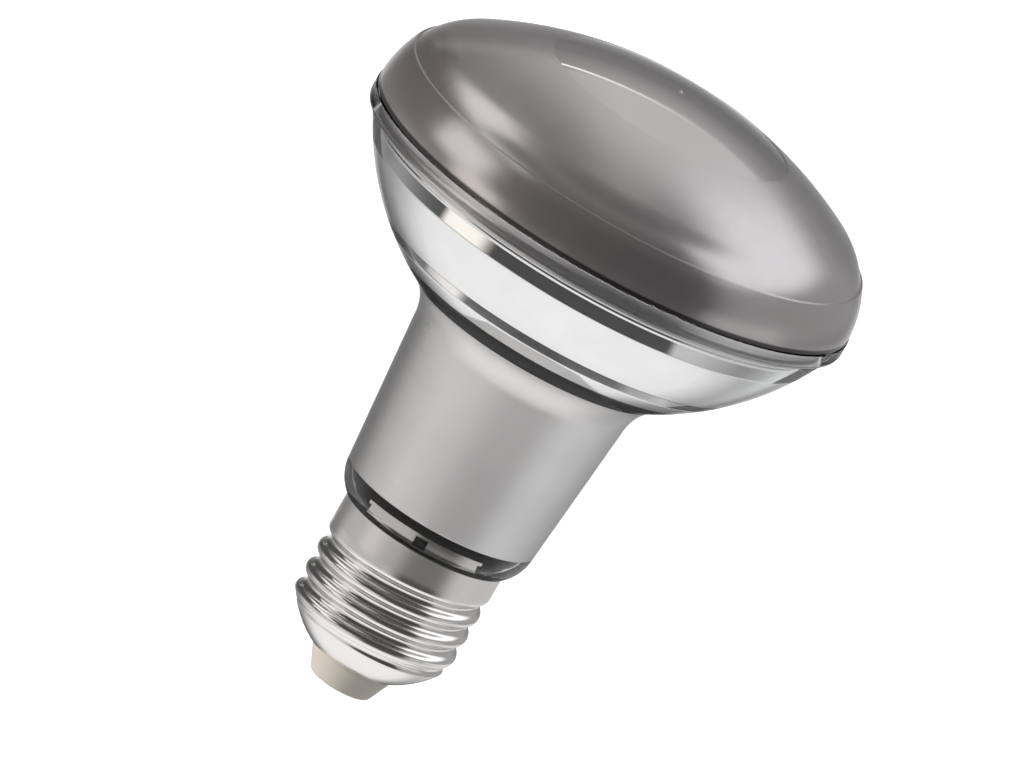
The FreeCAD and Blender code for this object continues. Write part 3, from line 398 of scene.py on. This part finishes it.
def cover_material():
    """Etched satin skin with a polished middle disc, a paler spigot and a dark line of painted shade just
    above the adhesive joint.
    """
    made = bpy.data.materials.new("Frosted polycarbonate")
    tree = empty_tree(made)
    place = add(tree, "ShaderNodeTexCoord").outputs["Object"]
    axes = add(tree, "ShaderNodeSeparateXYZ", {"Vector": place}).outputs
    flat = add(tree, "ShaderNodeCombineXYZ", {"X": axes["X"], "Y": axes["Y"]}).outputs[0]
    radius = add(tree, "ShaderNodeVectorMath", {0: flat}, operation="LENGTH").outputs["Value"]
    off_disc = add(tree, "ShaderNodeMapRange", {
        "Value": radius, "From Min": (DISC_R - DISC_FADE) * MM,
        "From Max": (DISC_R + DISC_FADE) * MM}).outputs[0]
    off_spigot = add(tree, "ShaderNodeMath", {0: axes["Z"], 1: (COVER_LOW_Z - SPIGOT_LAP) * MM},
                     operation="GREATER_THAN").outputs[0]
    frost = add(tree, "ShaderNodeMath", {0: off_disc, 1: off_spigot}, operation="MULTIPLY").outputs[0]
    polish = add(tree, "ShaderNodeMapRange", {"Value": off_spigot, "To Min": 0.35, "To Max": 0.03}).outputs[0]
    roughness = add(tree, "ShaderNodeMapRange", {
        "Value": frost, "To Min": polish, "To Max": noise(tree, 3.0, 0.21, 0.25)}).outputs[0]
    # The real frost is finer, and this grain is as fine as the picture shows
    grain = noise(tree, 0.22, 0.0, 1.0, 2.0)
    depth = add(tree, "ShaderNodeMath", {0: grain, 1: frost}, operation="MULTIPLY").outputs[0]
    bump = add(tree, "ShaderNodeBump", {"Height": depth, "Distance": 0.0025 * MM})
    # Painted shade: a dark grey line round the cover just above its joint with the clear body
    rise = add(tree, "ShaderNodeMath", {0: axes["Z"], 1: (COVER_LOW_Z + PAINTED_SHADE_RISE) * MM},
               operation="SUBTRACT").outputs[0]
    away = add(tree, "ShaderNodeMath", {0: rise}, operation="ABSOLUTE").outputs[0]
    off_painted_shade = add(tree, "ShaderNodeMapRange", {
        "Value": away, "From Min": PAINTED_SHADE_SPREAD[0] * MM, "From Max": PAINTED_SHADE_SPREAD[1] * MM},
        interpolation_type="SMOOTHSTEP").outputs[0]
    skin_with_painted_shade = add(tree, "ShaderNodeMix", {0: off_painted_shade, 6: colour("#565252"), 7: colour("#C8C4C4")},
                    data_type="RGBA").outputs[2]
    tone = add(tree, "ShaderNodeMix", {0: off_spigot, 6: colour("#F4F2F2"), 7: skin_with_painted_shade},
               data_type="RGBA").outputs[2]
    body = add(tree, "ShaderNodeBsdfPrincipled", {
        "Base Color": tone, "Metallic": 0.92, "Roughness": roughness, "Normal": bump.outputs[0]})
    add(tree, "ShaderNodeOutputMaterial", {"Surface": body.outputs[0]})
    return made


CLEAR = clear_material()
FROSTED = cover_material()
NICKEL = cap_material()

# Pieces under, behind or inside the visible ones keep their CAD form
PLAIN = {
    # Half clear and tinted grey: the grey is painted shade for the dark line the gap shows at the joint
    "cover_seal": material("Clear cured adhesive", "#6C6C6C", (0.08, 0.12), **{"Transmission Weight": 0.6}),
    # Turned without polish, which leaves a soft sheen
    "heat_spreader": material("Turned aluminium", "#C4C4C6", (0.3, 0.4), 1.0),
    # Printed mask under lacquer, and phosphor in clear resin
    "led_board": material("White solder mask", "#E6E6E2", (0.35, 0.45)),
    "led_chips": material("Yellow phosphor", "#E3C23A", (0.3, 0.4)),
    "board_screws": material("Zinc-plated screw steel", "#B8B8B8", (0.25, 0.35), 1.0),
    # Moulded, with little gloss, so the foot stays dark behind the clear wall
    "driver_housing": material("Dark polycarbonate housing", "#2C2827", (0.3, 0.42),
                               **{"Specular IOR Level": 0.2}),
    # Rolled bright or plated, which shows the room a little blurred
    "foot_clip_front": material("Bright spring steel", "#D6D2CE", (0.1, 0.14), 1.0),
    "centre_contact": material("Nickel-plated contact brass", "#CFCAC2", (0.2, 0.3), 1.0),
    # Lacquered, dipped and moulded parts of the driver, in plain colours with a low sheen
    "driver_board": material("Green circuit board", "#2E6B45", (0.4, 0.5)),
    "electrolytic_capacitor": material("Sleeved aluminium can", "#2A2A30", (0.25, 0.35)),
    "film_capacitor": material("Red dipped epoxy", "#B5281E", (0.2, 0.3)),
    "inductor_core": material("Ground ferrite", "#2B2B2B", (0.5, 0.6)),
    "inductor_winding": material("Enamelled copper", "#B8703A", (0.2, 0.3), 1.0),
    "bridge_rectifier": material("Moulded chip epoxy", "#1B1B1B", (0.5, 0.6)),
    "fuse_resistor": material("Lacquered resistor ceramic", "#6E7C8C", (0.3, 0.4)),
    # Extruded insulation, smooth and slightly matt
    "live_wire": material("Brown wire insulation", "#4A2A18", (0.4, 0.5)),
    "neutral_wire": material("Blue wire insulation", "#1F4E9A", (0.4, 0.5)),
    "led_wire_positive": material("Red wire insulation", "#A81E1A", (0.4, 0.5)),
    "led_wire_negative": material("Black wire insulation", "#1A1A1A", (0.4, 0.5)),
}
PLAIN["foot_clip_back"] = PLAIN["foot_clip_front"]
PLAIN["driver_chip"] = PLAIN["bridge_rectifier"]
PLAIN["chip_resistors"] = PLAIN["fuse_resistor"]

for node_name, made in PLAIN.items():
    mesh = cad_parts[node_name].data
    mesh.materials.clear()
    mesh.materials.append(made)


# Clear body

def glass_outline():
    foot = (FOOT_CENTRE_R, FOOT_CENTRE_Z)
    inner_foot_r = FOOT_ARC_R - GLASS_WALL
    bore_high = (BORE_R, FOOT_CENTRE_Z - math.sqrt(inner_foot_r ** 2 - (BORE_R - FOOT_CENTRE_R) ** 2))
    to_neck = Vector((1, -NECK_TAPER)) / NECK_SLOPE
    outer_neck = Vector(foot) + to_neck * FOOT_ARC_R
    inner_neck = Vector(foot) + to_neck * inner_foot_r
    inner_end = skin_point(BOWL_TOP_Z, GLASS_WALL)
    edge_centre = (RIM_R - RIM_EDGE_R, BOWL_TOP_Z + RIM_EDGE_R)
    outline = arc(FOOT_END, outer_neck, foot)
    outline += skin(outer_neck.y, BOWL_TOP_Z, 0)
    outline += arc((edge_centre[0], BOWL_TOP_Z), (RIM_R, edge_centre[1]), edge_centre, 0.15)
    outline += [(RIM_R, RIM_TOP_Z), (inner_end[0], RIM_TOP_Z)]
    outline += reversed(skin(inner_neck.y, BOWL_TOP_Z, GLASS_WALL))
    outline += arc(inner_neck, bore_high, foot)
    outline.append((BORE_R, FOOT_END[1]))
    return outline


turned_piece("clear_body", glass_outline(), CLEAR, "glass_body")

# Cover
DOME = (0.0, RIM_TOP_Z + COVER_H - DOME_R)
EDGE_R = COVER_EDGE_R - DOME_EDGE_INSET
DOME_EDGE = (EDGE_R, DOME[1] + math.sqrt((DOME_R - DOME_EDGE_R) ** 2 - EDGE_R ** 2))


def dome_point(radius, inset):
    return (radius, DOME[1] + math.sqrt((DOME_R - inset) ** 2 - radius ** 2))


def dome_joint(inset):
    way = (Vector(DOME_EDGE) - Vector(DOME)).normalized()
    return tuple(Vector(DOME) + way * (DOME_R - inset))


def crease(inset):
    angle = math.radians(CREASE_ANGLE)
    reach = DOME_EDGE_R - inset
    return (DOME_EDGE[0] + reach * math.cos(angle), DOME_EDGE[1] + reach * math.sin(angle))


def cover_outline():
    low = Vector((COVER_EDGE_R, COVER_LOW_Z))
    high = Vector((crease(0)[0] + CREASE_STEP, crease(0)[1]))
    half = (high - low) / 2
    inwards = Vector((-half.y, half.x)).normalized()
    centre = low + half + inwards * math.sqrt(SHOULDER_ARC_R ** 2 - half.length ** 2)
    spigot_r = skin_point(RIM_TOP_Z - SPIGOT_DEPTH, GLASS_WALL)[0] - SEAT_GAP
    spigot_inner_r = spigot_r - COVER_WALL
    gate_foot = dome_point(GATE[0], DISC_DEPTH)
    outline = arc(low, high, centre)
    outline += arc(crease(0), dome_joint(0), DOME_EDGE)
    outline += arc(dome_joint(0), dome_point(DISC_R, 0), DOME)[1:]
    outline += arc(dome_point(DISC_R, DISC_DEPTH), gate_foot, DOME)
    outline.append((0, gate_foot[1] + GATE[1]))
    outline += arc(dome_point(0, COVER_WALL), dome_joint(COVER_WALL), DOME)
    outline += arc(dome_joint(COVER_WALL), crease(COVER_WALL), DOME_EDGE)[1:]
    outline += [(spigot_inner_r, COVER_LOW_Z), (spigot_inner_r, RIM_TOP_Z - SPIGOT_DEPTH)]
    outline += [(spigot_r, RIM_TOP_Z - SPIGOT_DEPTH), (spigot_r, COVER_LOW_Z)]
    return outline


turned_piece("frosted_cover", cover_outline(), FROSTED, "front_cover", soft=0.05)

# Mirrored bowl, black ring and satin sleeve
SLEEVE_END_R = fillet_low(BACK_INSET).x + SLEEVE_FLARE
RING_END_R = SLEEVE_END_R + RING_REACH
LOWER_BAND_R = RING_END_R + LOWER_BAND_REACH
LEDGE_R = LOWER_BAND_R + LEDGE_W
LIP_TOP_Z = RIM_TOP_Z - SPIGOT_DEPTH - SEAT_GAP
LIP_LOW_Z = LIP_TOP_Z - LIP_H
LIP_R = skin_point(LIP_LOW_Z, BACK_INSET)[0]
UPPER_BAND_R = LIP_R - LIP_OVERHANG


def mirror_outline():
    outside = BACK_INSET
    inside = BACK_INSET + MIRROR_WALL
    start_z = skin_height(RING_END_R, outside)
    lower_z = bowl_height(LOWER_BAND_R, outside)
    ledge_z = bowl_height(LEDGE_R, outside)
    inner_ledge_z = ledge_z + MIRROR_WALL
    inner_lower_r = LOWER_BAND_R - MIRROR_WALL
    inner_upper_r = UPPER_BAND_R - MIRROR_WALL
    outline = skin(start_z, lower_z, outside)
    outline.append((LOWER_BAND_R - LOWER_LEAN * (ledge_z - lower_z), ledge_z))
    upper_z = bowl_height(UPPER_BAND_R, outside)
    outline += skin(ledge_z, upper_z, outside)
    outline.append((UPPER_BAND_R - UPPER_LEAN * (LIP_LOW_Z - upper_z), LIP_LOW_Z))
    bead_centre = (LIP_R - LIP_BEAD_R, (LIP_LOW_Z + LIP_TOP_Z) / 2)
    outline += arc((LIP_R - LIP_SET_BACK, LIP_LOW_Z), (LIP_R - LIP_SET_BACK, LIP_TOP_Z), bead_centre, 0.12)
    outline.append((inner_upper_r, LIP_TOP_Z))
    outline += reversed(skin(inner_ledge_z, bowl_height(inner_upper_r, inside), inside))
    outline.append((inner_lower_r, inner_ledge_z))
    outline += reversed(skin(start_z, bowl_height(inner_lower_r, inside), inside))
    return outline


def ring_outline():
    low_z = skin_height(SLEEVE_END_R, BACK_INSET)
    high_z = skin_height(RING_END_R, BACK_INSET)
    inner_r = SLEEVE_END_R - RING_WALL
    return skin(low_z, high_z, BACK_INSET) + [(inner_r, high_z), (inner_r, low_z)]


def sleeve_outline():
    low_z = FOOT_CENTRE_Z - SLEEVE_FOOT_H
    high_z = skin_height(SLEEVE_END_R, BACK_INSET)
    inside = BACK_INSET + SLEEVE_WALL
    return skin(low_z, high_z, BACK_INSET) + list(reversed(skin(low_z, high_z, inside)))


turned_piece("mirrored_bowl", mirror_outline(), MIRROR, "reflector")
turned_piece("black_ring", ring_outline(), BLACK, "retaining_ring")
turned_piece("satin_sleeve", sleeve_outline(), SATIN, "neck_sleeve")


# Rolled screw cap and its plug

def bottom_arc():
    """Centre and radius of the cap's rounded bottom."""
    low = Vector((CAP_HOLE_R, CAP_BOTTOM_Z))
    high = Vector(CAP_CORNER)
    chord = high - low
    radius = (chord.length ** 2 / 4 + CAP_BULGE ** 2) / (2 * CAP_BULGE)
    inwards = Vector((-chord.y, chord.x)).normalized()
    return (low + high) / 2 + inwards * (radius - CAP_BULGE), radius


def bottom_points(inset, step):
    centre, radius = bottom_arc()
    reach = radius - inset
    hole_r = CAP_HOLE_R - inset
    low = (hole_r, centre.y - math.sqrt(reach ** 2 - (hole_r - centre.x) ** 2))
    corner = (centre.x + math.sqrt(reach ** 2 - (CAP_CORNER[1] - centre.y) ** 2), CAP_CORNER[1])
    side_r = SKIRT_R - inset
    points = arc(low, corner, centre, step)
    low_side = (side_r, corner[1] + side_r - corner[0])
    points.append(low_side)
    rows = round((CAP_TOP_Z - low_side[1]) / step)
    points += [(side_r, low_side[1] + (CAP_TOP_Z - low_side[1]) * row / rows) for row in range(1, rows + 1)]
    return points


def groove_depth(turn, z):
    """How deep the rolled thread is below the skirt's radius."""
    wound = (z - FIRST_ROOT_Z) / THREAD_PITCH - turn
    winding = round(wound)
    distance = abs(wound - winding) * THREAD_PITCH
    if distance < THREAD_PITCH / 4:
        depth = THREAD_DEPTH - THREAD_ARC_R + math.sqrt(THREAD_ARC_R ** 2 - distance ** 2)
    else:
        depth = THREAD_ARC_R - math.sqrt(THREAD_ARC_R ** 2 - (THREAD_PITCH / 2 - distance) ** 2)
    way = min(max((winding + turn - RUN_OUT[0]) / (RUN_OUT[1] - RUN_OUT[0]), 0.0), 1.0)
    return (depth - THREAD_LIFT) * (1 - way * way * (3 - 2 * way))


def smooth_least(first, second, width):
    """The lesser of two values, with a soft change where they cross."""
    gap = max(width - abs(first - second), 0.0) / width
    return min(first, second) - gap * gap * width / 4


def cap_piece():
    """The turned cap with its thread rolled in, wall and all."""
    outline = bottom_points(0, CAP_STEP) + list(reversed(bottom_points(SHEET, CAP_INNER_STEP)))
    bm = turned_mesh(clean(outline), CAP_TURN_STEPS)
    for vert in bm.verts:
        radius = math.hypot(vert.co.x, vert.co.y) / MM
        z = vert.co.z / MM
        turn = math.atan2(vert.co.y, vert.co.x) / (2 * math.pi) % 1.0
        inner = radius < SKIRT_R - SHEET / 2 and z > CAP_CORNER[1]
        rolled = SKIRT_R - (SHEET if inner else 0) - max(groove_depth(turn, z), 0.0)
        if z < CAP_CORNER[1] + THREAD_PITCH / 2:
            share = smooth_least(radius, rolled, ROOT_BLEND) / radius
        else:
            share = min(radius, rolled) / radius
        if z < CAP_TOP_Z - SHEET:
            vert.co.x *= share
            vert.co.y *= share
    return finished(bm, "screw_cap", NICKEL, "cap_shell", 60)


def plug_outline():
    hole_r = CAP_HOLE_R - SHEET - SEAT_GAP
    flange_z = CAP_BOTTOM_Z + SHEET
    top_z = flange_z + PLUG_FLANGE_T
    return [(PLUG_HOLE_R, PLUG_RECESS[1]), PLUG_RECESS, (PLUG_RECESS[0], PLUG_TIP[1]), PLUG_TIP,
            (hole_r, CAP_BOTTOM_Z - PLUG_EDGE_H), (hole_r, top_z), (PLUG_HOLE_R, top_z)]


cap_piece()
turned_piece("cap_plug", plug_outline(), BEIGE, "cap_insulator", soft=0.35)


# World: white to the camera, and to everything else a studio with a white ground, dark walls and soft boxes

def grey(level, warm=0.0):
    return (level * (1 + warm), level, level * (1 - warm), 1.0)


# Greys of the studio at elevations in degrees, from straight below to straight above
FRONT = [(-90, 1.0), (-60, 0.98), (-40, 0.92), (-30, 0.74), (-25, 0.48), (-20, 0.12), (-16, 0.07), (28, 0.06),
         (40, 0.12), (54, 0.13), (61, 0.19), (66, 0.19), (75, 0.12), (90, 0.18)]
SIDES = [(-90, 1.0), (-60, 0.97), (-50, 0.9), (-42, 0.62), (-34, 0.36), (-20, 0.32), (-12, 0.18), (0, 0.08),
         (25, 0.08), (35, 0.25), (58, 0.2), (90, 0.18)]
BACK = [(-90, 1.0), (-60, 0.95), (-50, 0.85), (-42, 0.4), (-34, 0.15), (-25, 0.15), (-17, 0.8), (-10, 0.9),
        (-7, 0.45), (0, 0.3), (8, 0.2), (17, 0.25), (24, 0.4), (29, 0.52), (31, 0.76), (51, 0.8), (60, 0.66),
        (70, 0.46), (80, 0.28), (90, 0.18)]
SIDES_FROM = (70.0, 105.0)      # degrees from the front over which the sides take over
BACK_FROM = (150.0, 174.0)

# Soft boxes, as the degrees over which the left and right sides, then the low and high sides, fade in
BOXES = [
    # Both flanks of the sleeve
    ((-134, -104), (-23, 6), (-40, -28), (-18, -9), grey(0.72)),
    ((43, 76), (150, 176), (-40, -28), (-18, -9), grey(0.78, -0.01)),
    # Right flank of the bands and the thread
    ((54, 72), (150, 176), (-14, -4), (22, 32), grey(0.38)),
    ((56, 62), (94, 108), (-12, -8), (-2, 3), grey(0.65)),
    # Both flanks of the dome, and the left of its shoulder
    ((-144, -126), (-96, -80), (32, 40), (56, 64), grey(1.1)),
    ((50, 76), (152, 176), (23, 35), (56, 68), grey(1.25, -0.02)),
    ((-89, -83), (-50, -42), (30, 36), (38, 45), grey(0.95, -0.02)),
    # Warm windows at the left of the thread and the bands
    ((-93, -87), (-62, -50), (-3, 5), (20, 32), grey(1.0, 0.04)),
    ((-74, -68), (-50, -38), (-12, -8), (-3, 4), grey(1.15, 0.06)),
]


def soft_mask(tree, edges):
    """1 within soft edges, each a value with the start and the end of its rise."""
    mask = 1.0
    for value, start, end in edges:
        rise = add(tree, "ShaderNodeMapRange", {"Value": value, "From Min": start, "From Max": end},
                   interpolation_type="SMOOTHSTEP").outputs[0]
        mask = add(tree, "ShaderNodeMath", {0: mask, 1: rise}, operation="MULTIPLY").outputs[0]
    return mask


def wall_light(tree, elevation, stops):
    position = add(tree, "ShaderNodeMapRange", {
        "Value": elevation, "From Min": -90.0, "From Max": 90.0}).outputs[0]
    node = add(tree, "ShaderNodeValToRGB", {"Fac": position})
    elements = node.color_ramp.elements
    elements[0].color = grey(stops[0][1])
    elements[-1].color = grey(stops[-1][1])
    for degrees, level in stops[1:-1]:
        elements.new((degrees + 90) / 180).color = grey(level)
    return node.outputs[0]


def studio(tree):
    """The light from each direction, with azimuth 0 towards the photo's view and the right side positive."""
    direction = add(tree, "ShaderNodeTexCoord").outputs["Generated"]
    axes = add(tree, "ShaderNodeSeparateXYZ", {"Vector": direction}).outputs
    height = add(tree, "ShaderNodeMath", {0: axes["Z"]}, operation="ARCSINE").outputs[0]
    elevation = add(tree, "ShaderNodeMath", {0: height, 1: 180 / math.pi}, operation="MULTIPLY").outputs[0]
    towards = add(tree, "ShaderNodeMath", {0: axes["Y"], 1: -1.0}, operation="MULTIPLY").outputs[0]
    angle = add(tree, "ShaderNodeMath", {0: axes["X"], 1: towards}, operation="ARCTAN2").outputs[0]
    azimuth = add(tree, "ShaderNodeMath", {0: angle, 1: 180 / math.pi}, operation="MULTIPLY").outputs[0]
    aside = add(tree, "ShaderNodeMath", {0: azimuth}, operation="ABSOLUTE").outputs[0]

    layers = [(soft_mask(tree, [(aside, *SIDES_FROM)]), wall_light(tree, elevation, SIDES)),
              (soft_mask(tree, [(aside, *BACK_FROM)]), wall_light(tree, elevation, BACK))]
    for left, right, low, high, level in BOXES:
        layers.append((soft_mask(tree, [(azimuth, *left), (azimuth, right[1], right[0]),
                                        (elevation, *low), (elevation, high[1], high[0])]), level))
    # Thin bright edge of a panel behind, seen only in the polished disc
    bow = add(tree, "ShaderNodeMath", {0: axes["X"], 1: axes["X"]}, operation="MULTIPLY").outputs[0]
    bowed = add(tree, "ShaderNodeMath", {0: bow, 1: 93.0, 2: elevation}, operation="MULTIPLY_ADD").outputs[0]
    layers.append((soft_mask(tree, [(bowed, 30.6, 31.1), (bowed, 32.1, 31.6), (axes["X"], 0.1, -0.3),
                                    (elevation, 11.0, 14.0), (axes["Y"], 0.5, 0.7)]), grey(2.0)))
    light = wall_light(tree, elevation, FRONT)
    for mask, level in layers:
        light = add(tree, "ShaderNodeMix", {0: mask, 6: light, 7: level}, data_type="RGBA").outputs[2]
    return light


def make_world():
    world = bpy.data.worlds.new("Studio")
    bpy.context.scene.world = world
    tree = empty_tree(world)
    world.cycles.sampling_method = "NONE"
    path = add(tree, "ShaderNodeLightPath").outputs
    shown = add(tree, "ShaderNodeMix", {0: path["Is Camera Ray"], 6: studio(tree), 7: colour("#FDFFFF")},
                data_type="RGBA").outputs[2]
    background = add(tree, "ShaderNodeBackground", {"Color": shown})
    add(tree, "ShaderNodeOutputWorld", {"Surface": background.outputs[0]})


def make_floor():
    """White to the camera with the object's soft shadow, and clear to every other ray."""
    bm = bmesh.new()
    bmesh.ops.create_grid(bm, x_segments=1, y_segments=1, size=2.0)
    mesh = bpy.data.meshes.new("floor")
    bm.to_mesh(mesh)
    bm.free()
    made = bpy.data.materials.new("White studio floor")
    tree = empty_tree(made)
    path = add(tree, "ShaderNodeLightPath").outputs
    matt = add(tree, "ShaderNodeBsdfDiffuse", {"Color": colour("#DDDFDF")}).outputs[0]
    glow = add(tree, "ShaderNodeEmission", {"Color": colour("#FDFFFF"), "Strength": 0.8}).outputs[0]
    both = add(tree, "ShaderNodeAddShader", {0: matt, 1: glow}).outputs[0]
    clear = add(tree, "ShaderNodeBsdfTransparent").outputs[0]
    mixed = add(tree, "ShaderNodeMixShader", {0: path["Is Camera Ray"], 1: clear, 2: both}).outputs[0]
    add(tree, "ShaderNodeOutputMaterial", {"Surface": mixed})
    mesh.materials.append(made)
    floor = bpy.data.objects.new("floor", mesh)
    floor.location = (0, 0, -FLOOR_DROP)
    bpy.context.scene.collection.objects.link(floor)


def area_light(name, place, size, power, shade):
    """A lamp that lights matt surfaces and doesn't show in shiny or clear ones."""
    light = bpy.data.lights.new(name, "AREA")
    light.size = size
    light.energy = power
    light.color = shade
    lamp = bpy.data.objects.new(name, light)
    lamp.location = place
    lamp.rotation_mode = "QUATERNION"
    lamp.rotation_quaternion = (Vector(LAMP_TARGET) - Vector(place)).to_track_quat("-Z", "Y")
    lamp.visible_glossy = False
    lamp.visible_transmission = False
    bpy.context.scene.collection.objects.link(lamp)


def make_camera():
    """A parallel view from slightly above, rolled to the right."""
    tilt = math.radians(VIEW_TILT)
    roll = math.radians(VIEW_ROLL)
    up = Vector((0, math.sin(tilt), math.cos(tilt)))
    side = Vector((1, 0, 0))
    back = Vector((0, -math.cos(tilt), math.sin(tilt)))
    right = side * math.cos(roll) + up * math.sin(roll)
    top = up * math.cos(roll) - side * math.sin(roll)
    data = bpy.data.cameras.new("camera")
    data.type = "ORTHO"
    data.ortho_scale = VIEW_WIDTH
    camera = bpy.data.objects.new("camera", data)
    turn = Matrix((right, top, back)).transposed().to_4x4()
    camera.matrix_world = Matrix.Translation(Vector((0, 0, VIEW_CENTRE_Z)) + back * VIEW_DISTANCE) @ turn
    bpy.context.scene.collection.objects.link(camera)
    bpy.context.scene.camera = camera


make_world()
make_floor()
area_light("key", (-0.7, -0.3, 0.16), 0.4, 8.0, (1.0, 0.95, 0.88))
area_light("fill", (0.5, -0.4, 0.5), 0.5, 0.8, (1.0, 1.0, 1.0))
make_camera()
bpy.context.scene.view_settings.view_transform = "Standard"
